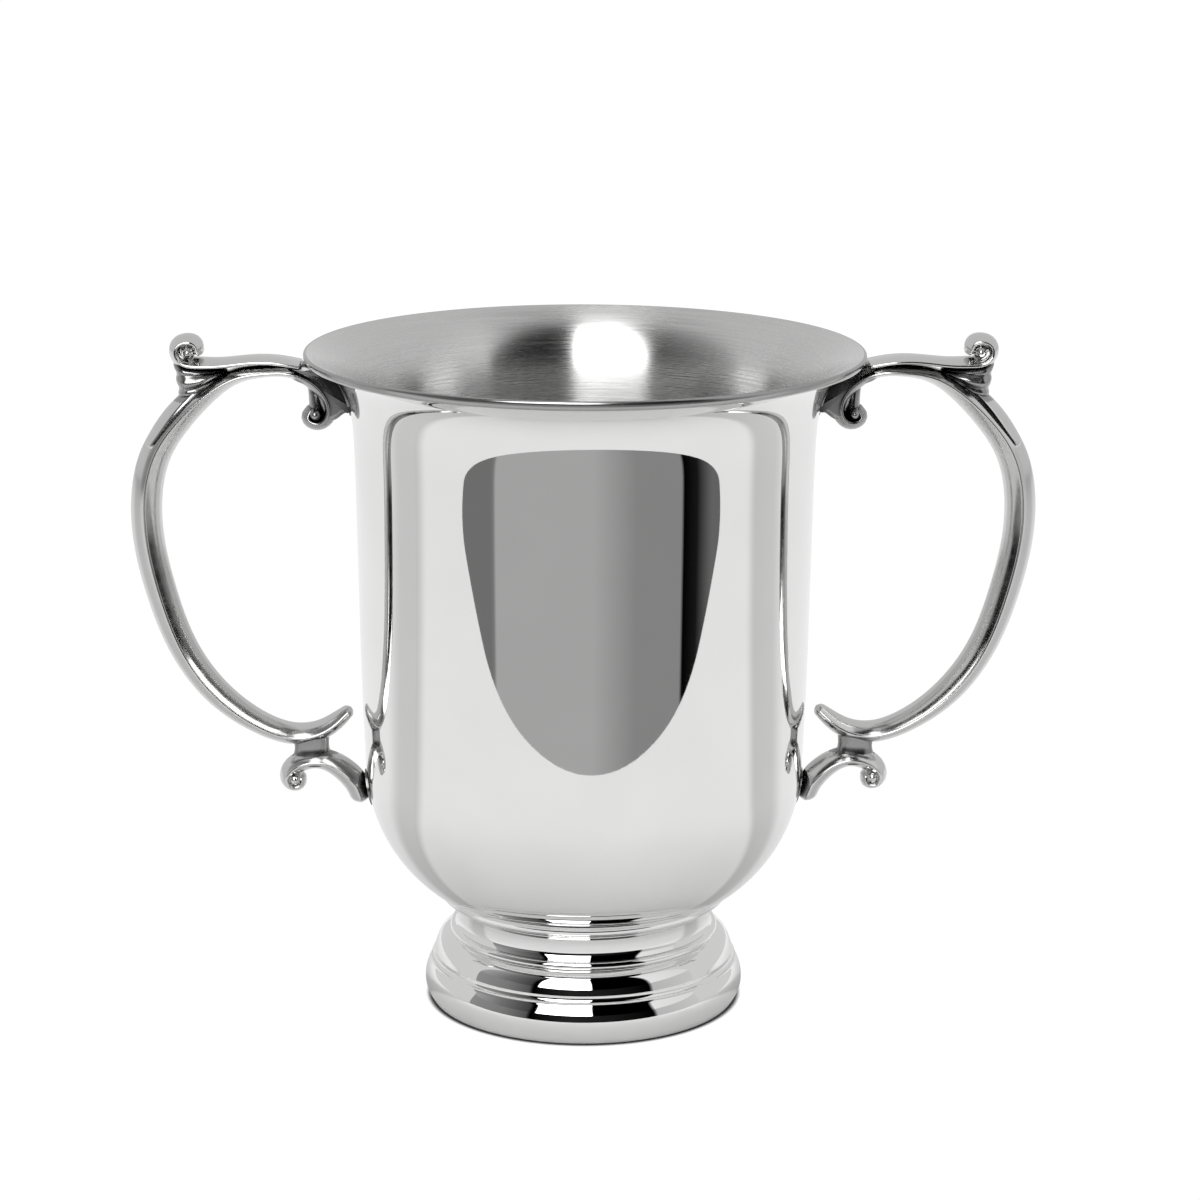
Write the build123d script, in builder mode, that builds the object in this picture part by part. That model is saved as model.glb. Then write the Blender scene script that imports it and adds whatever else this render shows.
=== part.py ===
"""Two-handled footed cup: a spun bowl with an applied lip, a stepped foot and two scroll handles.

Millimetres, +Z up, origin at the centre of the resting plane, handles along +X and -X.
"""

from build123d import *
import math
import os

os.makedirs("parts", exist_ok=True)

# ---- driving dimensions ------------------------------------------------------------------
RIM_RADIUS = 63.5  # 5 inch mouth
RIM_HEIGHT = 152.9  # 6 inch cup
BOWL_WALL = 1.3
FOOT_WALL = 1.2
SEAM = 0.4  # thickness of the solder between a handle and the bowl

# Bowl meridian, given on the outer face.
BOTTOM_RADIUS = 36.0
BOTTOM_CENTRE = (14.5, 56.5)
BOTTOM_LEAN = 2.5  # how far the wall leans out where the rounded bottom ends, in degrees
BOWL_SIDE = [  # radius, height and lean from the vertical in degrees
    (51.25, 76.0, 1.3),
    (51.64, 96.0, 1.0),
    (51.98, 116.0, 1.0),
    (52.38, 132.0, 2.4),
    (52.62, 136.0, 4.9),
    (53.17, 140.0, 12.0),
    (54.47, 144.0, 24.7),
    (57.25, 148.0, 45.0),
    (61.0, 150.7, 62.0),
]

# Foot meridian, given on the outer face.
COLLAR_RADIUS = 33.5  # where the foot meets the bowl
COLLAR_INNER = 28.2
NECK_TOP = (29.9, 22.6)
SKIRT_RADIUS = 35.2
BAND_TOP = 9.2
BASE_INNER = 33.6
BASE_OUTER = 35.6
SKIRT_BOTTOM = 0.8

# Handle stations along each strap: (x, z, thickness in the handle's plane, width across it).
GRIP = [
    (63.5, 137.4, 1.6, 6.0),
    (61.4, 135.5, 2.3, 8.0),
    (59.3, 137.6, 2.8, 9.0),
    (59.5, 141.2, 3.2, 9.5),
    (61.8, 145.0, 3.0, 10.0),
    (66.0, 147.4, 2.6, 10.5),
    (72.0, 148.1, 2.8, 11.0),
    (78.5, 147.0, 3.6, 11.0),
    (85.0, 143.3, 5.0, 11.0),
    (91.3, 137.5, 6.2, 11.0),
    (96.8, 129.8, 6.9, 11.0),
    (99.4, 120.0, 7.1, 11.0),
    (99.3, 109.5, 7.1, 11.0),
    (96.6, 96.5, 7.0, 11.0),
    (91.6, 83.0, 6.6, 11.0),
    (84.0, 72.5, 6.2, 10.5),
    (75.0, 65.8, 5.4, 10.0),
    (66.5, 63.0, 5.0, 9.5),
    (60.3, 64.1, 4.6, 9.0),
    (56.4, 66.7, 3.6, 7.5),
    (54.6, 68.7, 2.0, 5.0),
]
THUMB = [
    (64.4, 149.6, 1.6, 10.5),
    (69.0, 150.4, 1.9, 11.0),
    (76.0, 150.5, 2.1, 11.0),
    (83.0, 149.9, 2.5, 11.0),
    (88.0, 150.2, 3.0, 10.5),
    (90.9, 151.9, 3.4, 10.0),
    (90.8, 154.3, 3.4, 9.5),
    (88.4, 155.2, 3.2, 9.0),
    (86.9, 153.2, 2.6, 8.0),
]
BRACKET = [
    (49.6, 49.1, 5.2, 8.0),
    (52.5, 51.1, 5.8, 9.0),
    (55.2, 53.8, 5.2, 9.0),
    (58.4, 56.0, 4.6, 9.0),
    (61.8, 56.8, 4.2, 9.0),
    (65.2, 56.1, 4.6, 9.0),
    (67.8, 54.3, 4.0, 8.5),
    (68.7, 52.4, 2.8, 8.0),
]
LEAF = [
    (85.6, 144.2, 5.6, 8.0),
    (91.7, 138.1, 7.4, 9.0),
    (96.2, 131.8, 6.9, 9.0),
]
FOLD_ROOT = (80.6, 148.0, 1.0, 5.0)
FOLD_ENDS = [(91.4, 147.1, 2.4, 9.0), (91.9, 144.7, 2.8, 9.5), (91.4, 142.6, 2.2, 9.5)]
POST = [(56.6, 5.0, 3.6), (59.7, 3.9, 3.0), (63.0, 5.6, 3.8)]  # height and the two half-widths
POST_X = 63.0
LUG_WIDTH = 7.0
VOLUTE_EYE = (61.5, 137.6, 1.3)  # x, z and radius
THUMB_EYE = (88.7, 152.7, 1.9)
BRACKET_EYE = (67.1, 52.6, 3.0)
EYE_LENGTH = 9.6  # of the two upper eyes; the bracket ends in a ball
SECTION_SPACING = 2.5  # between a strap's sections
UPPER_SEAM = (143.8, 4.3, 6.1)  # height and the two half-widths of the soldered patch
LOWER_SEAM = (50.0, 4.6, 4.2)

SIDES = {"right": 1, "left": -1}


# ---- shared outlines ---------------------------------------------------------------------
def on_side(station, offset=0.0):
    """A station of the bowl's side, moved outwards by offset."""
    radius, height, lean = station
    angle = math.radians(lean)
    return (radius + offset * math.cos(angle), height - offset * math.sin(angle))


def bowl_meridian(offset):
    """Draw the bowl's meridian from the axis to the mouth and return its two ends."""
    radius = BOTTOM_RADIUS + offset
    first, last = math.radians(BOTTOM_LEAN), math.radians(BOWL_SIDE[-1][2])
    low, middle, side = [
        (BOTTOM_CENTRE[0] + radius * math.sin(turn), BOTTOM_CENTRE[1] - radius * math.cos(turn))
        for turn in (0, math.pi / 4, math.pi / 2 - first)
    ]
    start = (0, low[1])
    wall = [on_side(station, offset) for station in BOWL_SIDE]
    Line(start, low)
    ThreePointArc(low, middle, side)
    Spline(
        side,
        *wall,
        tangents=[(math.sin(first), math.cos(first)), (math.sin(last), math.cos(last))],
    )
    return start, wall[-1]


def bowl_profile(outer, inner=None):
    """The bowl's half section: a shell between two offsets, or a filled form when inner is None."""
    with BuildSketch(Plane.XZ) as profile:
        with BuildLine():
            outer_start, outer_end = bowl_meridian(outer)
            if inner is None:
                Polyline(outer_end, (0, outer_end[1]), outer_start)
            else:
                inner_start, inner_end = bowl_meridian(inner)
                Line(outer_end, inner_end)
                Line(outer_start, inner_start)
        make_face()
    return profile.sketch


def on_bottom(radius):
    """The point of the bowl's rounded bottom at a radius."""
    drop = math.sqrt(BOTTOM_RADIUS**2 - (radius - BOTTOM_CENTRE[0]) ** 2)
    return (radius, BOTTOM_CENTRE[1] - drop)


def strap_sections(stations):
    """Lens-shaped sections, pointed at both edges, square to the smooth line through the stations."""
    with BuildLine(Plane.XZ) as spine:
        Spline(*[(x, z) for x, z, _, _ in stations])
    path = spine.edges()[0]
    marks = [path.param_at_point(Vector(x, 0, z)) for x, z, _, _ in stations]
    steps = max(2, round(path.length / SECTION_SPACING))
    sections = []
    for step in range(steps + 1):
        mark = step / steps
        after = next(i for i in range(1, len(marks)) if mark <= marks[i] or i == len(marks) - 1)
        share = (mark - marks[after - 1]) / (marks[after] - marks[after - 1])
        before_size, after_size = stations[after - 1][2:], stations[after][2:]
        thickness, width = [a + share * (b - a) for a, b in zip(before_size, after_size)]
        plane = Plane(
            origin=path.position_at(mark), x_dir=(0, 1, 0), z_dir=path.tangent_at(mark)
        )
        with BuildSketch(plane) as section:
            with BuildLine():
                ThreePointArc((-width / 2, 0), (0, thickness / 2), (width / 2, 0))
                ThreePointArc((width / 2, 0), (0, -thickness / 2), (-width / 2, 0))
            make_face()
        sections.append(section.sketch)
    return sections


# ---- bowl, lip and foot ------------------------------------------------------------------
with BuildPart() as bowl:
    revolve(bowl_profile(0, -BOWL_WALL), axis=Axis.Z)
bowl.part.label = "bowl"

with BuildPart() as seam_form:
    revolve(bowl_profile(SEAM), axis=Axis.Z)

with BuildPart() as bowl_form:
    revolve(bowl_profile(0), axis=Axis.Z)

lip_foot = on_side(BOWL_SIDE[-1])
lip_inner = on_side(BOWL_SIDE[-1], -BOWL_WALL)
with BuildPart() as lip_wire:
    with BuildSketch(Plane.XZ):
        with BuildLine():
            Line(lip_inner, lip_foot)
            Line(lip_foot, (61.6, 150.4))
            Spline((61.6, 150.4), (63.2, 151.5), (RIM_RADIUS, 152.4), (63.2, RIM_HEIGHT))
            Line((63.2, RIM_HEIGHT), (61.6, RIM_HEIGHT))
            ThreePointArc((61.6, RIM_HEIGHT), (60.8, 152.6), lip_inner)
        make_face()
    revolve(axis=Axis.Z)
lip_wire.part.label = "lip_wire"

with BuildPart() as foot_collar:
    with BuildSketch(Plane.XZ):
        with BuildLine():
            ThreePointArc(on_bottom(COLLAR_INNER), on_bottom(31), on_bottom(COLLAR_RADIUS))
            Spline(on_bottom(COLLAR_RADIUS), (33.5, 25.2), (32.8, 24.6), (32.0, 24.3))
            Spline((32.0, 24.3), (31.3, 23.9), (30.6, 23.2), NECK_TOP)
            Polyline(NECK_TOP, (COLLAR_INNER, NECK_TOP[1]), on_bottom(COLLAR_INNER))
        make_face()
    revolve(axis=Axis.Z)
foot_collar.part.label = "foot_collar"

with BuildPart() as foot_shell:
    with BuildSketch(Plane.XZ):
        with BuildLine() as shell_line:
            Spline(NECK_TOP, (29.5, 21.4), (29.4, 20.2), (29.5, 18.9), (30.1, 17.7))
            ThreePointArc((30.1, 17.7), (31.1, 16.8), (30.9, 15.9))
            Line((30.9, 15.9), (31.8, 15.6))
            Spline((31.8, 15.6), (33.2, 14.6), (34.3, 12.8), (34.9, 11.0))
            Spline((34.9, 11.0), (35.0, 10.2), (35.3, 9.7), (35.6, 9.5))
            Polyline(
                (35.6, 9.5),
                (35.6, BAND_TOP),
                (SKIRT_RADIUS, BAND_TOP),
                (SKIRT_RADIUS, SKIRT_BOTTOM),
                (SKIRT_RADIUS - FOOT_WALL, SKIRT_BOTTOM),
                (SKIRT_RADIUS - FOOT_WALL, 9.6),
            )
            Spline((SKIRT_RADIUS - FOOT_WALL, 9.6), (33.1, 12.4), (31.6, 14.2), (29.6, 15.2))
            Spline((29.6, 15.2), (28.6, 17.4), (28.2, 20.4), (28.6, NECK_TOP[1]))
            Line((28.6, NECK_TOP[1]), NECK_TOP)
        make_face()
    revolve(axis=Axis.Z)
foot_shell.part.label = "foot_shell"

with BuildPart() as base_band:
    with BuildSketch(Plane.XZ):
        with BuildLine():
            Line((BASE_INNER, 0), (BASE_OUTER, 0))
            Spline((BASE_OUTER, 0), (36.8, 2.2), (37.1, 4.6), (36.6, 7.0), (35.7, BAND_TOP - 0.3))
            Polyline(
                (35.7, BAND_TOP - 0.3),
                (35.6, BAND_TOP),
                (SKIRT_RADIUS, BAND_TOP),
                (SKIRT_RADIUS, SKIRT_BOTTOM),
                (BASE_INNER, SKIRT_BOTTOM),
                (BASE_INNER, 0),
            )
        make_face()
    revolve(axis=Axis.Z)
base_band.part.label = "base_band"

seam_top = on_bottom(COLLAR_INNER)
seam_inner = on_bottom(25.6)
with BuildPart() as foot_solder:
    with BuildSketch(Plane.XZ):
        with BuildLine():
            ThreePointArc(seam_inner, on_bottom(27), seam_top)
            Line(seam_top, (COLLAR_INNER, NECK_TOP[1]))
            Spline((COLLAR_INNER, NECK_TOP[1]), (27.0, 22.2), seam_inner)
        make_face()
    revolve(axis=Axis.Z)
foot_solder.part.label = "foot_solder"

pieces = [bowl, lip_wire, foot_collar, foot_shell, base_band, foot_solder]
for piece in pieces:
    export_step(piece.part, f"parts/{piece.part.label}.step")

# ---- one handle, on the right ------------------------------------------------------------
with BuildPart() as grip_scroll:
    loft(strap_sections(GRIP))
    with Locations((VOLUTE_EYE[0], 0, VOLUTE_EYE[1])):
        Cylinder(VOLUTE_EYE[2], EYE_LENGTH, rotation=(90, 0, 0))
    add(seam_form.part, mode=Mode.SUBTRACT)

with BuildPart() as thumb_scroll:
    loft(strap_sections(THUMB))
    with Locations((THUMB_EYE[0], 0, THUMB_EYE[1])):
        Cylinder(THUMB_EYE[2], EYE_LENGTH, rotation=(90, 0, 0))
    add([grip_scroll.part, lip_wire.part], mode=Mode.SUBTRACT)

# The web between the volute and the bowl, under the flare.
with BuildPart() as upper_lug:
    with BuildSketch(Plane.XZ):
        with BuildLine():
            Spline((51.0, 139.3), (54.4, 138.7), (56.6, 137.0), (58.2, 136.0))
            Spline((58.2, 136.0), (59.2, 141.2), (61.8, 145.0), (66.0, 147.6))
            Polyline((66.0, 147.6), (66.0, 149.2), (63.6, 149.6), (51.0, 149.6), (51.0, 139.3))
        make_face()
    extrude(amount=LUG_WIDTH / 2, both=True)
    add([seam_form.part, lip_wire.part, grip_scroll.part, thumb_scroll.part], mode=Mode.SUBTRACT)

# A leaf laid along the grip's back, and three folds that fan out of the fork between the straps.
with BuildPart() as leaf_knuckle:
    loft(strap_sections(LEAF))
    for fold_end in FOLD_ENDS:
        loft(strap_sections([FOLD_ROOT, fold_end]))
    add([grip_scroll.part, thumb_scroll.part], mode=Mode.SUBTRACT)

# The arch that carries the grip's lower end: a strap with a curled foot, and a waisted post.
with BuildPart() as lower_bracket:
    loft(strap_sections(BRACKET))
    with Locations((BRACKET_EYE[0], 0, BRACKET_EYE[1])):
        Sphere(BRACKET_EYE[2])
    post_sections = []
    for height, half_x, half_y in POST:
        with BuildSketch(Plane.XY.offset(height), mode=Mode.PRIVATE) as post_section:
            with Locations((POST_X, 0)):
                Ellipse(half_x, half_y)
        post_sections.append(post_section.sketch)
    loft(post_sections)
    add([seam_form.part, grip_scroll.part], mode=Mode.SUBTRACT)

handle = {
    "grip_scroll": grip_scroll,
    "thumb_scroll": thumb_scroll,
    "upper_lug": upper_lug,
    "leaf_knuckle": leaf_knuckle,
    "lower_bracket": lower_bracket,
}

# Thin seams of solder that follow the bowl under each foot of the handle.
for name, (height, half_y, half_z) in {"upper_seam": UPPER_SEAM, "lower_seam": LOWER_SEAM}.items():
    with BuildPart() as seam:
        with BuildSketch(Plane.YZ.offset(BOTTOM_RADIUS)):
            with Locations((0, height)):
                Ellipse(half_y, half_z)
        extrude(amount=BOTTOM_RADIUS)
        add(seam_form.part, mode=Mode.INTERSECT)
        add([bowl_form.part, lip_wire.part], mode=Mode.SUBTRACT)
    handle[name] = seam

# ---- both handles ------------------------------------------------------------------------
for side, sign in SIDES.items():
    for name, piece in handle.items():
        with BuildPart() as placed:
            if sign > 0:
                add(piece.part)
            else:
                mirror(piece.part, about=Plane.YZ)
        placed.part.label = f"{side}_{name}"
        export_step(placed.part, f"parts/{placed.part.label}.step")
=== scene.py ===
"""Looks of the two-handled cup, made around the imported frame. Metres, +Z up."""

import math

import bpy
import numpy as np
from mathutils import Matrix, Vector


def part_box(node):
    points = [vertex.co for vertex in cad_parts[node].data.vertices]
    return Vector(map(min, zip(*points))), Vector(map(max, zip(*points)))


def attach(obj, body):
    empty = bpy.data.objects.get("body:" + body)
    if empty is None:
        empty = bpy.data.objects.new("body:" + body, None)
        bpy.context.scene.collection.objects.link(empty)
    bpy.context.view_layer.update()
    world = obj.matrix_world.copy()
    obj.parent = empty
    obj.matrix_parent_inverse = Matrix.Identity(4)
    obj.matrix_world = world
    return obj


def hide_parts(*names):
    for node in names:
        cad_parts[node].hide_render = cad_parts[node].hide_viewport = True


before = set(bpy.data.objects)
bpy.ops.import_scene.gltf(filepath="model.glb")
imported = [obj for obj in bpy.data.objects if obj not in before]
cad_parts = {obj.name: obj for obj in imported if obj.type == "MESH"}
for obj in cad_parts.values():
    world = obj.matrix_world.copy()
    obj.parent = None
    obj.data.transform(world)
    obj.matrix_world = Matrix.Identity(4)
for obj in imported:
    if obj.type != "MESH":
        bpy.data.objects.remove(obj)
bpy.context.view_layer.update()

MM = 0.001
BODY = "root"
SIDES = {"right": 1, "left": -1}

# ---- sizes read from the frame (millimetres, because the outlines below are in millimetres) ----
BOWL_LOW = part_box("bowl")[0].z / MM
BASE_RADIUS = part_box("base_band")[1].x / MM
NECK_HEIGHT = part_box("foot_shell")[1].z / MM

# ---- the bowl's meridian, on its outer face ----------------------------------------------
WALL = 1.3
BOTTOM_RADIUS = 36.0
BOTTOM_CENTRE = (14.5, BOWL_LOW + BOTTOM_RADIUS)
BOTTOM_LEAN = 2.5  # degrees from the vertical, where the rounded bottom ends
BOWL_SIDE = [  # radius, height and lean from the vertical in degrees
    (51.25, 76.0, 1.3),
    (51.64, 96.0, 1.0),
    (51.98, 116.0, 1.0),
    (52.38, 132.0, 2.4),
    (52.62, 136.0, 4.9),
    (53.17, 140.0, 12.0),
    (54.47, 144.0, 24.7),
    (57.25, 148.0, 45.0),
    (61.0, 150.7, 62.0),
]

# ---- handle stations: x, z, thickness in the handle's plane, width across it ---------------
GRIP = [
    (62.0, 139.0, 2.6, 6.4),
    (62.5, 137.5, 3.4, 7.2),
    (60.9, 136.4, 3.9, 8.0),
    (58.9, 137.1, 3.9, 8.8),
    (57.9, 139.2, 3.8, 9.4),
    (58.3, 141.8, 4.0, 9.6),
    (60.0, 144.4, 4.0, 10.0),
    (62.7, 146.6, 3.6, 10.3),
    (66.6, 148.0, 3.0, 10.6),
    (72.0, 148.1, 2.9, 11.0),
    (78.5, 147.0, 3.6, 11.0),
    (85.0, 143.3, 5.0, 11.0),
    (91.3, 137.5, 6.2, 11.0),
    (96.8, 129.8, 6.9, 11.0),
    (99.4, 120.0, 7.1, 11.0),
    (99.3, 109.5, 7.1, 11.0),
    (96.6, 96.5, 7.0, 11.0),
    (91.6, 83.0, 6.6, 11.0),
    (84.0, 72.5, 6.2, 10.5),
    (75.0, 65.8, 5.4, 10.0),
    (66.5, 63.0, 5.0, 9.5),
    (60.3, 64.1, 4.6, 8.6),
    (56.4, 66.7, 3.8, 7.0),
    (54.9, 68.0, 3.2, 5.4),
]
THUMB = [
    (64.4, 149.6, 1.6, 10.5),
    (69.0, 150.4, 1.9, 11.0),
    (76.0, 150.5, 2.1, 11.0),
    (82.5, 149.8, 2.5, 11.0),
    (86.8, 149.7, 3.0, 10.6),
    (90.0, 150.1, 3.3, 10.2),
    (91.8, 151.9, 3.3, 9.8),
    (91.6, 154.0, 3.3, 9.4),
    (89.7, 155.0, 3.2, 9.0),
    (87.6, 154.5, 3.0, 8.6),
    (87.0, 152.9, 2.6, 8.0),
]
BRACKET = [
    (52.1, 48.9, 5.0, 7.6),
    (52.9, 51.1, 5.6, 8.6),
    (55.1, 53.8, 5.6, 9.0),
    (58.4, 56.1, 5.1, 9.0),
    (61.8, 57.0, 4.7, 9.0),
    (65.2, 56.4, 4.7, 9.0),
    (67.9, 54.6, 4.3, 8.5),
    (68.8, 52.4, 3.4, 8.0),
    (67.7, 50.8, 2.9, 7.2),
    (66.0, 51.0, 2.8, 6.6),
    (65.5, 52.5, 2.4, 6.0),
]
LEAF = [
    (86.0, 143.4, 5.2, 7.4),
    (91.3, 138.2, 6.2, 8.8),
    (94.6, 133.6, 6.5, 8.8),
    (96.3, 131.2, 6.1, 8.4),
]
LUG = [
    (52.2, 138.9),
    (54.4, 138.6),
    (56.0, 137.4),
    (58.0, 137.0),
    (59.6, 140.0),
    (61.8, 144.6),
    (66.4, 147.2),
    (66.8, 149.4),
    (63.6, 149.9),
    (60.4, 150.2),
    (57.0, 148.3),
    (54.0, 144.3),
    (52.7, 140.4),
]
BEAD = 0.38  # radius of the fine raised line along a strap's two edges

# ---- fineness of the meshes ----------------------------------------------------------------
TURNED_STEPS = 480  # points round every turned piece
CAP_STEPS = 7  # rings in the domed end of a strap
CAP_LENGTH = 0.5  # how far a domed end reaches, as a share of the strap's thickness
POLE = 1e-6  # a ring smaller than this is one point
SAME_POINT = 1e-4  # outline points closer than this are one point


# ---- curve helpers -----------------------------------------------------------------------
def smooth_line(points, spacing, leans=None):
    """Cubic through the points, by chord length, sampled about every spacing.

    The ends are free, or lean from the vertical by the two angles given in degrees.
    """
    knots = np.array(points, float)
    steps = np.linalg.norm(np.diff(knots[:, :2], axis=0), axis=1)
    mark = np.concatenate([[0], np.cumsum(steps)])
    count = len(knots)
    matrix = np.eye(count)
    right = np.zeros_like(knots)
    for i in range(1, count - 1):
        matrix[i, i - 1] = steps[i - 1]
        matrix[i, i] = 2 * (steps[i - 1] + steps[i])
        matrix[i, i + 1] = steps[i]
        slopes = (knots[i + 1] - knots[i]) / steps[i] - (knots[i] - knots[i - 1]) / steps[i - 1]
        right[i] = 6 * slopes
    if leans:
        heading = [(math.sin(math.radians(lean)), math.cos(math.radians(lean))) for lean in leans]
        matrix[0, :2] = 2 * steps[0], steps[0]
        matrix[-1, -2:] = steps[-1], 2 * steps[-1]
        right[0] = 6 * ((knots[1] - knots[0]) / steps[0] - heading[0])
        right[-1] = 6 * (heading[1] - (knots[-1] - knots[-2]) / steps[-1])
    bend = np.linalg.solve(matrix, right)
    where = np.linspace(0, mark[-1], max(2, int(round(mark[-1] / spacing)) + 1))
    span = np.clip(np.searchsorted(mark, where, side="right") - 1, 0, count - 2)
    width = steps[span][:, None]
    after = (where - mark[span])[:, None]
    before = width - after
    return (
        bend[span] * before**3 / (6 * width)
        + bend[span + 1] * after**3 / (6 * width)
        + (knots[span] / width - bend[span] * width / 6) * before
        + (knots[span + 1] / width - bend[span + 1] * width / 6) * after
    )


def arc(centre, radius, start, end, steps):
    """Points of an arc, its angles in degrees."""
    angles = np.radians(np.linspace(start, end, steps + 1))
    return np.column_stack([centre[0] + radius * np.cos(angles), centre[1] + radius * np.sin(angles)])


def chain(*stretches):
    """Join stretches of an outline, leaving out the points that repeat."""
    points = np.vstack([np.asarray(stretch, float) for stretch in stretches])
    keep = np.concatenate([[True], np.linalg.norm(np.diff(points, axis=0), axis=1) > SAME_POINT])
    return points[keep]


def resample(line, count):
    """The same line with a fixed number of evenly spread points."""
    mark = np.concatenate([[0], np.cumsum(np.linalg.norm(np.diff(line, axis=0), axis=1))])
    where = np.linspace(0, mark[-1], count)
    return np.column_stack([np.interp(where, mark, line[:, axis]) for axis in (0, 1)])


def resample_loop(loop, count):
    """The same closed loop with a fixed number of evenly spread points."""
    return resample(np.vstack([loop, loop[:1]]), count + 1)[:-1]


# ---- mesh helpers ------------------------------------------------------------------------
def make_mesh(name, points, faces, materials, face_material, sharp_angle=35):
    """A smooth-shaded object from points in millimetres."""
    mesh = bpy.data.meshes.new(name)
    mesh.from_pydata((np.asarray(points) * MM).tolist(), [], faces)
    for material in materials:
        mesh.materials.append(material)
    mesh.shade_smooth()
    mesh.set_sharp_from_angle(angle=math.radians(sharp_angle))
    mesh.polygons.foreach_set("material_index", face_material)
    mesh.validate()
    piece = bpy.data.objects.new(name, mesh)
    bpy.context.scene.collection.objects.link(piece)
    return piece


def band_faces(low, high):
    """Faces between two rings of point numbers. A ring of one point is a pole."""
    faces = []
    count = max(len(low), len(high))
    for i in range(count):
        j = (i + 1) % count
        corners = [low[i % len(low)], low[j % len(low)], high[j % len(high)], high[i % len(high)]]
        faces.append(list(dict.fromkeys(corners)))
    return faces


def ring_faces(rings):
    """Faces along a row of rings, open at its two ends."""
    return [face for low, high in zip(rings[:-1], rings[1:]) for face in band_faces(low, high)]


def lathe(name, outline, materials, stretch_material=None):
    """Turn a closed outline of (radius, height) round Z. Points on the axis become poles."""
    points = []
    rings = []
    turn = np.linspace(0, 2 * math.pi, TURNED_STEPS, endpoint=False)
    for radius, height in outline:
        if radius < POLE:
            rings.append([len(points)])
            points.append((0, 0, height))
        else:
            rings.append(list(range(len(points), len(points) + TURNED_STEPS)))
            points.extend(zip(radius * np.cos(turn), radius * np.sin(turn), [height] * TURNED_STEPS))
    faces = []
    face_material = []
    for stretch, low in enumerate(rings):
        high = rings[(stretch + 1) % len(rings)]
        if len(low) == 1 and len(high) == 1:
            continue
        faces += band_faces(low, high)
        face_material += [stretch_material[stretch] if stretch_material else 0] * TURNED_STEPS
    return make_mesh(name, points, faces, materials, face_material)


def beaded(thickness, width):
    """A strap's section, a closed loop of (across, out): two crowned faces between two beaded edges."""
    bead = min(BEAD, thickness * 0.3)
    body = width / 2 - bead
    reach = body * math.sqrt(1 - bead * 0.75 / (thickness / 2))
    across = reach * np.sin(np.linspace(-0.5, 0.5, 25) * math.pi)
    crown = thickness / 2 * (1 - (across / body) ** 2)
    face = np.column_stack([across, crown])
    swing = np.radians(np.linspace(118, -118, 11))
    edge = np.column_stack([body + bead * np.cos(swing), bead * np.sin(swing)])
    return np.vstack([face, edge, face[::-1] * (1, -1), edge[::-1] * (-1, 1)])


def sweep(stations, section, spacing=0.5):
    """Rings of a section along a line in the XZ plane, closed by domed ends."""
    line = smooth_line(stations, spacing)
    place, size = line[:, :2], line[:, 2:]
    tangent = np.gradient(place, axis=0)
    tangent /= np.linalg.norm(tangent, axis=1)[:, None]
    rows = []
    dome = np.radians(np.linspace(90, 0, CAP_STEPS + 1))[:-1]
    for at, side in ((0, -1), (len(place) - 1, 1)):
        reach = size[at, 0] * CAP_LENGTH
        ends = [
            (place[at] + side * tangent[at] * reach * math.sin(a), tangent[at], size[at], math.cos(a))
            for a in dome
        ]
        if side < 0:
            rows += ends
            rows += [(place[i], tangent[i], size[i], 1.0) for i in range(len(place))]
        else:
            rows += ends[::-1]
    points = []
    rings = []
    for centre, along, (thickness, width), scale in rows:
        normal = np.array([-along[1], along[0]])
        if scale < POLE:
            rings.append([len(points)])
            points.append((centre[0], 0, centre[1]))
            continue
        loop = section(thickness, width) * scale
        rings.append(list(range(len(points), len(points) + len(loop))))
        for across, out in loop:
            points.append((centre[0] + out * normal[0], across, centre[1] + out * normal[1]))
    return points, ring_faces(rings)


def merged(*shells):
    """Several closed shells as one list of points and faces."""
    points, faces = [], []
    for shell_points, shell_faces in shells:
        start = len(points)
        points += list(shell_points)
        faces += [[start + corner for corner in face] for face in shell_faces]
    return points, faces


def oval(thickness, width):
    """A plain oval section."""
    turn = np.linspace(0, 2 * math.pi, 40, endpoint=False)
    return np.column_stack([width / 2 * np.cos(turn), thickness / 2 * np.sin(turn)])


def bulb(centre, radius, reach):
    """A rounded boss across the handle's plane."""
    turn = np.linspace(0, 2 * math.pi, 40, endpoint=False)
    points, rings = [], []
    for angle in np.linspace(-90, 90, 19):
        swell = radius * math.cos(math.radians(angle))
        across = reach * math.sin(math.radians(angle))
        if swell < POLE:
            rings.append([len(points)])
            points.append((centre[0], across, centre[1]))
            continue
        rings.append(list(range(len(points), len(points) + len(turn))))
        points += [(centre[0] + swell * math.cos(a), across, centre[1] + swell * math.sin(a)) for a in turn]
    return points, ring_faces(rings)


def upright(stations):
    """A waisted post: (height, centre x, half width along x, half width across)."""
    line = smooth_line(stations, 0.25)
    turn = np.linspace(0, 2 * math.pi, 56, endpoint=False)
    points, rings = [], []
    for height, x, a, b in line:
        rings.append(list(range(len(points), len(points) + len(turn))))
        points += [(x + a * math.cos(t), b * math.sin(t), height) for t in turn]
    faces = ring_faces(rings)
    faces += [rings[0][::-1], rings[-1]]
    return points, faces


LEAF_STEP = 0.22  # height of the leaf above the grip
LEAF_EDGE = 0.35  # width of its rounded edge
LEAF_DEPTH = 0.9  # how far its under side lies below the crown
CROWN_HALF_WIDTH = 5.6  # distance across at which the crown would meet the middle plane


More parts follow.
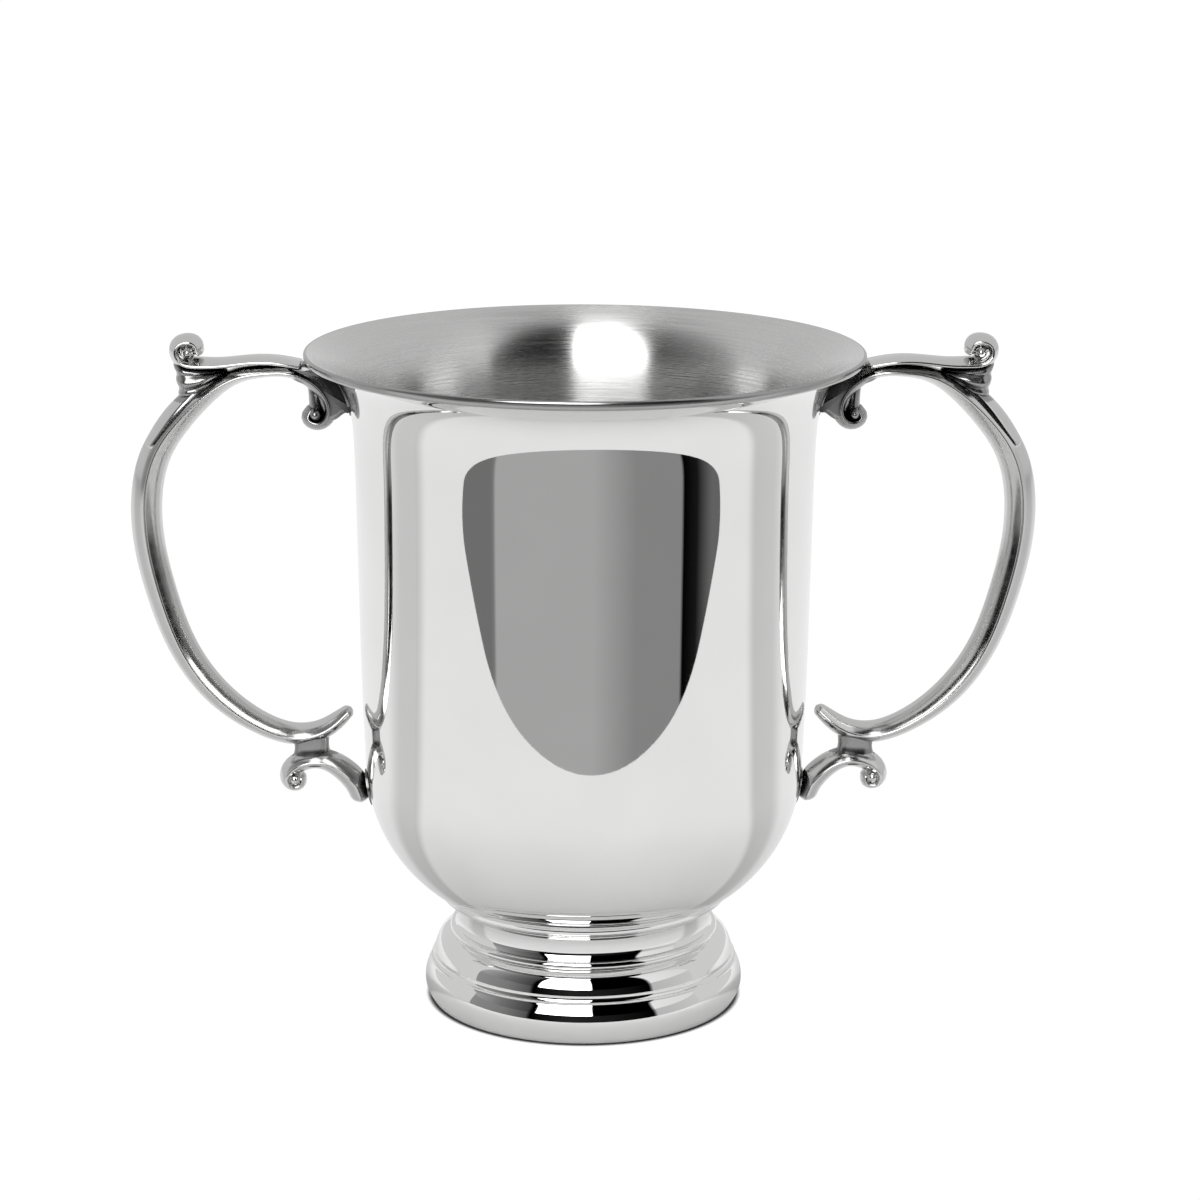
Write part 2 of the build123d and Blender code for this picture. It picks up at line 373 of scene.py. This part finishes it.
def leaf_section(thickness, width):
    """The raised outer face of a strap, with a thin step at its two edges."""
    half = width / 2
    across = np.linspace(-half, half, 41)
    crown = thickness / 2 * (1 - (across / CROWN_HALF_WIDTH) ** 2)
    edge = np.clip((half - np.abs(across)) / LEAF_EDGE, 0, 1)
    top = crown + LEAF_STEP * np.sqrt(1 - (1 - edge) ** 2)
    under = crown - LEAF_DEPTH
    return np.vstack([np.column_stack([across, top]), np.column_stack([across, under])[::-1]])


def plate(outline, half_width, rounding):
    """A flat web with rounded edges, from a closed outline in the handle's plane."""
    edge = resample_loop(smooth_line(list(outline) + [outline[0]], 0.3)[:-1], 96)
    along = np.roll(edge, -1, axis=0) - np.roll(edge, 1, axis=0)
    along /= np.linalg.norm(along, axis=1)[:, None]
    inward = np.column_stack([-along[:, 1], along[:, 0]])
    middle = edge.mean(axis=0)
    points, rings = [], []
    turns = np.radians(np.linspace(0, 90, 7))
    levels = [(half_width - rounding * (1 - math.sin(a)), rounding * (1 - math.cos(a))) for a in turns]
    crowned = [(half_width + 0.5 * (1 - share**2), share) for share in (0.75, 0.5, 0.25)]
    top = edge + inward * levels[-1][1]
    front = [(across, edge + inward * inset) for across, inset in levels]
    front += [(across, middle + (top - middle) * share) for across, share in crowned]
    front.append((half_width + 0.5, middle[None, :]))
    for across, ring in [(-a, r) for a, r in front[::-1]] + front:
        rings.append(list(range(len(points), len(points) + len(ring))))
        points += [(x, across, z) for x, z in ring]
    return points, ring_faces(rings)


def pleated(bottom, top, root, reach, pleats):
    """A mass that swells from a root to a rounded end, with shallow pleats running along it."""
    rows = 30
    columns = 48
    low = resample(smooth_line(bottom, 0.3), rows)
    high = resample(smooth_line(top, 0.3), rows)
    points, rings = [], []
    for i, share in enumerate(np.linspace(0, 1, rows)):
        swell = root + (reach - root) * math.sin(min(share / 0.6, 1) * math.pi / 2)
        swell *= math.sqrt(max(1 - (max(share - 0.8, 0) / 0.2) ** 2, 0.0))
        ring = []
        for turn in np.linspace(0, 2 * math.pi, columns, endpoint=False):
            height = (1 - math.cos(turn)) / 2
            groove = abs(math.sin(math.pi * pleats * height))
            depth = swell * math.sin(turn) * (0.68 + 0.32 * math.sqrt(groove))
            x, z = low[i] + (high[i] - low[i]) * height
            ring.append((x + 0.5 * share**6 * groove, depth, z))
        rings.append(list(range(len(points), len(points) + columns)))
        points += ring
    faces = ring_faces(rings)
    faces += [rings[0][::-1], rings[-1]]
    return points, faces


# ---- materials ---------------------------------------------------------------------------
def node_material(name):
    material = bpy.data.materials.new(name)
    material.use_nodes = True
    tree = material.node_tree
    return material, tree, tree.nodes["Principled BSDF"]


def link(tree, source, target):
    tree.links.new(source, target)


def painted_occlusion_shade(tree, distance, samples, dark_until, clear_from, darkest):
    """Painted shade: white in the open, dark where other surfaces are nearer than distance, in millimetres.
    """
    cover = tree.nodes.new("ShaderNodeAmbientOcclusion")
    cover.inputs["Distance"].default_value = distance * MM
    cover.samples = samples
    shade = tree.nodes.new("ShaderNodeValToRGB")
    shade.color_ramp.elements[0].position = dark_until
    shade.color_ramp.elements[0].color = (darkest, darkest, darkest, 1)
    shade.color_ramp.elements[1].position = clear_from
    shade.color_ramp.elements[1].color = (1, 1, 1, 1)
    link(tree, cover.outputs["AO"], shade.inputs["Fac"])
    return shade.outputs["Color"]


def metal(name, grey, roughness, anisotropic=0.0, streak=0.0, depth=0.0, cover=0.0, grain=2200.0):
    """Polished metal: fine turned streaks in its roughness and height. Given cover, its colour is darkened
    where other surfaces lie within cover millimetres: painted crevice shade.
    """
    material, tree, shader = node_material(name)
    nodes = tree.nodes
    shader.inputs["Metallic"].default_value = 1.0
    shader.inputs["Anisotropic"].default_value = anisotropic
    place = nodes.new("ShaderNodeTexCoord")
    squeeze = nodes.new("ShaderNodeMapping")
    squeeze.inputs["Scale"].default_value = (grain * 0.02, grain * 0.02, grain)
    streaks = nodes.new("ShaderNodeTexNoise")
    streaks.inputs["Scale"].default_value = 1.0
    streaks.inputs["Detail"].default_value = 4.0
    link(tree, place.outputs["Object"], squeeze.inputs["Vector"])
    link(tree, squeeze.outputs["Vector"], streaks.inputs["Vector"])
    rough = nodes.new("ShaderNodeMapRange")
    rough.inputs["From Min"].default_value = 0.3
    rough.inputs["From Max"].default_value = 0.7
    rough.inputs["To Min"].default_value = max(0.0, roughness - streak)
    rough.inputs["To Max"].default_value = roughness + streak
    link(tree, streaks.outputs["Fac"], rough.inputs["Value"])
    link(tree, rough.outputs["Result"], shader.inputs["Roughness"])
    if depth:
        bump = nodes.new("ShaderNodeBump")
        bump.inputs["Strength"].default_value = 1.0
        bump.inputs["Distance"].default_value = depth * MM
        link(tree, streaks.outputs["Fac"], bump.inputs["Height"])
        link(tree, bump.outputs["Normal"], shader.inputs["Normal"])
    tone = nodes.new("ShaderNodeValToRGB")
    tone.color_ramp.elements[0].color = (grey * 0.93, grey * 0.93, grey * 0.925, 1)
    tone.color_ramp.elements[1].color = (grey, grey, grey * 0.995, 1)
    clouds = nodes.new("ShaderNodeTexNoise")
    clouds.inputs["Scale"].default_value = 60.0
    link(tree, place.outputs["Object"], clouds.inputs["Vector"])
    link(tree, clouds.outputs["Fac"], tone.inputs["Fac"])
    colour = tone.outputs["Color"]
    # Painted crevice shade: the colour is multiplied by an occlusion ramp, dark where other surfaces are
    # near.
    if cover:
        darken = nodes.new("ShaderNodeMix")
        darken.data_type = "RGBA"
        darken.blend_type = "MULTIPLY"
        darken.inputs["Factor"].default_value = 1.0
        shade = painted_occlusion_shade(tree, cover, samples=8, dark_until=0.38, clear_from=0.92, darkest=0.02)
        link(tree, colour, darken.inputs["A"])
        link(tree, shade, darken.inputs["B"])
        colour = darken.outputs["Result"]
    link(tree, colour, shader.inputs["Base Color"])
    if anisotropic:
        turned = nodes.new("ShaderNodeTangent")
        turned.direction_type = "RADIAL"
        turned.axis = "Z"
        link(tree, turned.outputs["Tangent"], shader.inputs["Tangent"])
        shader.inputs["Anisotropic Rotation"].default_value = 0.25
    return material


polished = metal("polished_metal", 0.82, 0.02, streak=0.012, depth=0.00012)
polished_foot = metal("polished_foot", 0.86, 0.02, streak=0.01)
satin = metal("satin_metal", 0.68, 0.26, anisotropic=0.97, streak=0.05, depth=0.0004, grain=3000)
lip_metal = metal("brushed_lip", 0.40, 0.20, streak=0.05, depth=0.0002)
casting = metal("polished_casting", 0.68, 0.16, streak=0.04, grain=400)
# A darker copy of the casting, darkened further by occlusion: painted shade for the handle's hollows.
painted_shade_casting = metal("shaded_casting", 0.38, 0.22, streak=0.04, cover=5.0, grain=400)
# Solder's own duller tone, darkened further by occlusion where other surfaces are near: painted crevice
# shade.
solder = metal("dull_solder", 0.55, 0.28, streak=0.06, cover=3.0, grain=500)


# ---- bowl, lip and foot ------------------------------------------------------------------
def bowl_side(offset, steps):
    """The bowl's meridian from the axis up to the mouth, moved outwards by offset."""
    bottom = arc(BOTTOM_CENTRE, BOTTOM_RADIUS + offset, -90, -BOTTOM_LEAN, steps)
    side = [tuple(bottom[-1])]
    for radius, height, lean in BOWL_SIDE:
        turn = math.radians(lean)
        side.append((radius + offset * math.cos(turn), height - offset * math.sin(turn)))
    wall = smooth_line(side, 0.7, leans=(BOTTOM_LEAN, BOWL_SIDE[-1][2]))
    return chain([(0, bottom[0][1])], bottom, wall)


outer_side = bowl_side(0, 60)
inner_side = bowl_side(-WALL, 60)
bowl_outline = np.vstack([outer_side, inner_side[::-1]])
inside_from = len(outer_side)
bowl = lathe(
    "bowl_shell",
    bowl_outline,
    [polished, satin],
    stretch_material=[int(i >= inside_from - 1) for i in range(len(bowl_outline))],
)

lip_outline = chain(
    [inner_side[-1]],
    [outer_side[-1]],
    [(61.6, 150.55)],
    smooth_line(
        [(61.6, 150.55), (62.7, 150.85), (63.3, 151.4), (63.47, 152.1), (63.36, 152.6), (62.95, 152.88)],
        0.1,
    ),
    smooth_line([(62.95, 152.88), (62.3, 152.68), tuple(inner_side[-1])], 0.15),
)[:-1]
SATIN_RADIUS = 62.9  # the lip's top and inner face are satin inside this radius
SATIN_HEIGHT = 151.8  # and above this height
lip_stretches = [int(radius < SATIN_RADIUS and height > SATIN_HEIGHT) for radius, height in lip_outline]
lip = lathe("lip_band", lip_outline, [lip_metal, satin], lip_stretches)


def on_bottom(radius):
    """The point of the bowl's rounded bottom at a radius."""
    drop = math.sqrt(BOTTOM_RADIUS**2 - (radius - BOTTOM_CENTRE[0]) ** 2)
    return (radius, BOTTOM_CENTRE[1] - drop)


NECK = (29.9, NECK_HEIGHT)
collar_outline = chain(
    [on_bottom(28.2), on_bottom(30), on_bottom(32), on_bottom(33.5)],
    smooth_line([on_bottom(33.5), (33.5, 25.2), (32.8, 24.6), (32.0, 24.3)], 0.1),
    smooth_line([(32.0, 24.3), (31.3, 23.9), (30.6, 23.2), NECK], 0.1),
    [(28.2, NECK[1])],
)
collar = lathe("collar", collar_outline, [polished_foot])

shell_outline = chain(
    smooth_line([NECK, (29.5, 21.4), (29.4, 20.2), (29.5, 18.9), (30.1, 17.7)], 0.1),
    smooth_line([(30.1, 17.7), (30.9, 17.35), (31.25, 16.7), (31.2, 16.15), (30.9, 15.9)], 0.08),
    [(31.8, 15.6)],
    smooth_line([(31.8, 15.6), (33.2, 14.6), (34.3, 12.8), (34.9, 11.0)], 0.12),
    smooth_line([(34.9, 11.0), (35.0, 10.2), (35.3, 9.7), (35.6, 9.5)], 0.08),
    [(35.6, 9.2), (35.2, 9.2), (35.2, 0.8), (34.0, 0.8), (34.0, 9.6)],
    smooth_line([(34.0, 9.6), (33.1, 12.4), (31.6, 14.2), (29.6, 15.2)], 0.3),
    smooth_line([(29.6, 15.2), (28.6, 17.4), (28.2, 20.4), (28.6, NECK[1])], 0.3),
)
shell = lathe("foot", shell_outline, [polished_foot])

band_outline = chain(
    smooth_line([(35.6, 0), (36.8, 2.2), (BASE_RADIUS, 4.6), (36.6, 7.0), (35.7, 8.9)], 0.12),
    [(35.6, 9.2), (35.2, 9.2), (35.2, 0.8), (33.6, 0.8), (33.6, 0.0)],
)
band = lathe("base_ring", band_outline, [polished_foot])

for piece, node, slot in (
    (bowl, "bowl", "polished"),
    (lip, "lip_wire", "lip"),
    (collar, "foot_collar", "polished"),
    (shell, "foot_shell", "polished"),
    (band, "base_band", "polished"),
):
    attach(piece, BODY)
    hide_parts(node)


# ---- handles -----------------------------------------------------------------------------
volute_web = sweep([(61.2, 145.4, 3.0, 3.4), (60.6, 142.0, 3.6, 5.0), (60.4, 138.6, 4.0, 5.6)], oval, 0.4)
grip_mesh = merged(sweep(GRIP, beaded), volute_web, bulb((60.9, 138.4), 1.9, 4.3))
thumb_mesh = merged(sweep(THUMB, beaded), bulb((89.3, 152.5), 1.7, 3.9))
lug_mesh = plate(LUG, 3.5, 1.4)
knuckle_mesh = pleated(
    [(80.6, 147.3), (84.0, 144.8), (88.0, 141.6), (91.0, 141.0)],
    [(80.6, 148.5), (84.0, 149.0), (88.0, 149.8), (92.4, 150.8)],
    root=1.3,
    reach=4.9,
    pleats=3,
)
leaf_mesh = sweep(LEAF, leaf_section, 0.4)
post_mesh = upright(
    [
        (55.8, 62.4, 6.0, 3.3),
        (57.3, 62.7, 4.9, 3.0),
        (58.7, 62.9, 4.2, 2.7),
        (60.0, 63.0, 4.0, 2.6),
        (61.2, 63.2, 4.2, 2.8),
        (62.7, 63.9, 5.0, 3.3),
    ]
)
bracket_mesh = merged(sweep(BRACKET, beaded), post_mesh, bulb((67.0, 52.6), 2.0, 4.0))

HANDLE = {
    "grip_scroll": grip_mesh,
    "thumb_scroll": thumb_mesh,
    "upper_lug": lug_mesh,
    "leaf_knuckle": merged(leaf_mesh, knuckle_mesh),
    "lower_bracket": bracket_mesh,
}


VOLUTE_REACH = 65  # the volute is the grip inside this x
VOLUTE_LOW = 120  # and above this height
POST_LOW = 58  # the bracket's post starts here
KNUCKLE_LOW = 141.5  # most of the knuckle, and the top of the leaf, lie above this height


def takes_painted_shade(node, place):
    """Whether a face takes the painted shade: the parts of the handle that sit in a hollow get the darker,
    occlusion-shaded casting.
    """
    if node == "grip_scroll":
        return place[0] < VOLUTE_REACH and place[2] > VOLUTE_LOW
    if node == "lower_bracket":
        return place[2] > POST_LOW
    if node == "leaf_knuckle":
        return place[2] > KNUCKLE_LOW
    return node == "upper_lug"


for side, sign in SIDES.items():
    for node, (points, faces) in HANDLE.items():
        placed = np.array(points) * (sign, 1, 1)
        turned = [face[::sign] for face in faces]
        # Faces in the handle's hollows get the darker casting: painted shade.
        painted_shade_faces = [int(takes_painted_shade(node, points[face[0]])) for face in faces]
        piece = make_mesh(
            f"{side}_{node}_casting",
            placed,
            turned,
            [casting, painted_shade_casting],
            painted_shade_faces,
            sharp_angle=50,
        )
        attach(piece, BODY)
        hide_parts(f"{side}_{node}")

for node in ("foot_solder", "left_upper_seam", "left_lower_seam", "right_upper_seam", "right_lower_seam"):
    for material_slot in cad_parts[node].material_slots:
        material_slot.material = solder


# ---- studio ------------------------------------------------------------------------------
BRIGHTEST = 6.0


def glow(name, level):
    """A surface that only gives light."""
    material, _, shader = node_material(name)
    shader.inputs["Base Color"].default_value = (0, 0, 0, 1)
    shader.inputs["Specular IOR Level"].default_value = 0.0
    shader.inputs["Emission Color"].default_value = (1, 1, 1, 1)
    shader.inputs["Emission Strength"].default_value = level
    return material


def by_bearing(tree, stops, target):
    """Drive a shader's socket with greys set by the bearing round Z, as a share of a turn from +X."""
    place = tree.nodes.new("ShaderNodeTexCoord")
    bearing = tree.nodes.new("ShaderNodeTexGradient")
    bearing.gradient_type = "RADIAL"
    ramp = tree.nodes.new("ShaderNodeValToRGB")
    while len(ramp.color_ramp.elements) < len(stops):
        ramp.color_ramp.elements.new(0.5)
    for element, (position, grey) in zip(ramp.color_ramp.elements, stops):
        element.position = position
        element.color = (grey, grey, grey, 1)
    link(tree, place.outputs["Object"], bearing.inputs["Vector"])
    link(tree, bearing.outputs["Fac"], ramp.inputs["Fac"])
    link(tree, ramp.outputs["Color"], tree.nodes["Principled BSDF"].inputs[target])
    return ramp.color_ramp


def stage_mesh(name, points, faces, material, camera=False, mirror=True):
    """A card of the studio. Most are seen in reflections only."""
    mesh = bpy.data.meshes.new(name)
    mesh.from_pydata(points, [], faces)
    mesh.materials.append(material)
    card = bpy.data.objects.new(name, mesh)
    bpy.context.scene.collection.objects.link(card)
    card.visible_camera = camera
    card.visible_glossy = mirror
    card.visible_diffuse = False
    card.visible_shadow = False
    return card


def glow_band(name, low, high, stops, radius=1.2):
    """Part of a dome round the cup, between two elevations, its light set by azimuth in degrees.

    Azimuth 0 is in front of the cup and positive to the right.
    """
    around = np.radians(np.linspace(stops[0][0], stops[-1][0], 91))
    upward = np.radians(np.linspace(low, high, 9))
    points = [
        (radius * math.sin(a) * math.cos(e), -radius * math.cos(a) * math.cos(e), radius * math.sin(e))
        for e in upward
        for a in around
    ]
    width = len(around)
    faces = [
        (row * width + i, row * width + i + 1, (row + 1) * width + i + 1, (row + 1) * width + i)
        for row in range(len(upward) - 1)
        for i in range(width - 1)
    ]
    material = glow(name + "_glow", BRIGHTEST)
    shares = [(azimuth / 360 + 0.25, level / BRIGHTEST) for azimuth, level in stops]
    by_bearing(material.node_tree, shares, "Emission Color")
    return stage_mesh(name, points, faces, material)


def pale_floor():
    """An evenly glowing floor with a painted contact shadow where the cup touches it."""
    material = glow("pale_floor", 1.02)
    tree = material.node_tree
    # Painted contact shadow: the glow is multiplied by an occlusion ramp close to the foot.
    shade = painted_occlusion_shade(tree, 1.6, samples=12, dark_until=0.45, clear_from=0.85, darkest=0.03)
    link(tree, shade, tree.nodes["Principled BSDF"].inputs["Emission Color"])
    return material


def table_top():
    """A matt table, a little darker in two wedges that run out to either side of the cup."""
    material, tree, shader = node_material("pale_table")
    shader.inputs["Roughness"].default_value = 0.9
    shader.inputs["Specular IOR Level"].default_value = 0.0
    shader.inputs["Emission Color"].default_value = (1, 1, 1, 1)
    shader.inputs["Emission Strength"].default_value = 0.05
    wedges = [
        (0.0, 0.50),
        (0.022, 0.73),
        (0.478, 0.73),
        (0.497, 0.50),
        (0.53, 0.52),
        (0.57, 0.72),
        (0.93, 0.72),
        (0.97, 0.52),
    ]
    by_bearing(tree, wedges, "Base Color").interpolation = "EASE"
    return material


FAR = 6  # half the studio's width
FLOOR = -0.0002  # seen by the camera only, just under the cup
TABLE = -0.0004  # seen in reflections only
TABLE_FRONT = (-0.469, 0.011)  # where the table's front edge ends, at the far left and far right
floor = [(-FAR, -FAR, FLOOR), (FAR, -FAR, FLOOR), (FAR, FAR, FLOOR), (-FAR, FAR, FLOOR)]
stage_mesh("floor", floor, [(0, 1, 2, 3)], pale_floor(), camera=True, mirror=False)
table = [(-FAR, TABLE_FRONT[0], TABLE), (FAR, TABLE_FRONT[1], TABLE), (FAR, FAR, TABLE), (-FAR, FAR, TABLE)]
stage_mesh("table", table, [(0, 1, 2, 3)], table_top())

glow_band(
    "front_low",
    -45,
    -4,
    [
        (-88, 0.19),
        (-46.5, 0.19),
        (-45.8, 0.45),
        (3, 0.45),
        (24, 0.28),
        (46.6, 0.28),
        (47.2, 0.0),
        (55, 0.01),
        (63, 0.15),
        (88, 0.15),
    ],
)
glow_band(
    "front_middle",
    -4,
    19,
    [(-88, 0.30), (-60, 0.22), (-42, 0.10), (-40, 0.0), (-10, 0.02), (50, 0.0), (52, 0.55), (88, 0.65)],
)
glow_band(
    "front_high",
    19,
    66,
    [
        (-88, 0.40),
        (-64, 0.18),
        (-42, 0.06),
        (-40, 0.0),
        (-35.6, 0.0),
        (-35, 5.0),
        (5, 5.0),
        (5.6, 0.0),
        (50, 0.0),
        (52, 0.9),
        (88, 0.8),
    ],
)
glow_band(
    "front_top",
    66,
    76,
    [(-88, 0.4), (-36, 0.1), (-35, 5.0), (5, 5.0), (6, 0.0), (50, 0.0), (54, 0.5), (88, 0.5)],
)
glow_band("zenith", 76, 89, [(-88, 0.35), (2, 0.35), (6, 0.0), (50, 0.0), (56, 0.35), (88, 0.35)])

# The backdrop is white to the camera and a little dimmer to everything else.
world = bpy.data.worlds.new("studio")
world.use_nodes = True
bpy.context.scene.world = world
world_tree = world.node_tree
backdrop = world_tree.nodes["Background"]
backdrop.inputs["Color"].default_value = (1, 1, 1, 1)
ray = world_tree.nodes.new("ShaderNodeLightPath")
level = world_tree.nodes.new("ShaderNodeMapRange")
level.inputs["To Min"].default_value = 0.70
level.inputs["To Max"].default_value = 1.0
link(world_tree, ray.outputs["Is Camera Ray"], level.inputs["Value"])
link(world_tree, level.outputs["Result"], backdrop.inputs["Strength"])

overhead = bpy.data.lights.new("overhead", "AREA")
overhead.shape = "DISK"
overhead.size = 2.4
overhead.energy = 22.0
overhead_object = bpy.data.objects.new("overhead", overhead)
overhead_object.location = (0, 0.1, 1.6)
overhead_object.visible_glossy = False
bpy.context.scene.collection.objects.link(overhead_object)

# ---- camera ------------------------------------------------------------------------------
lens = bpy.data.cameras.new("camera")
lens.lens = 105
lens.sensor_width = 36
lens.clip_start = 0.05
camera = bpy.data.objects.new("camera", lens)
bpy.context.scene.collection.objects.link(camera)
STAND = (-0.01826, -0.77947, 0.28943)  # fitted to the photo's outlines, with the three angles
TURN = -0.028
PITCH = 0.2449  # downwards
ROLL = 0.004
camera.matrix_world = (
    Matrix.Translation(STAND)
    @ Matrix.Rotation(TURN, 4, "Z")
    @ Matrix.Rotation(math.pi / 2 - PITCH, 4, "X")
    @ Matrix.Rotation(ROLL, 4, "Z")
)
bpy.context.scene.camera = camera
bpy.context.scene.view_settings.view_transform = "Standard"

bpy.context.view_layer.update()
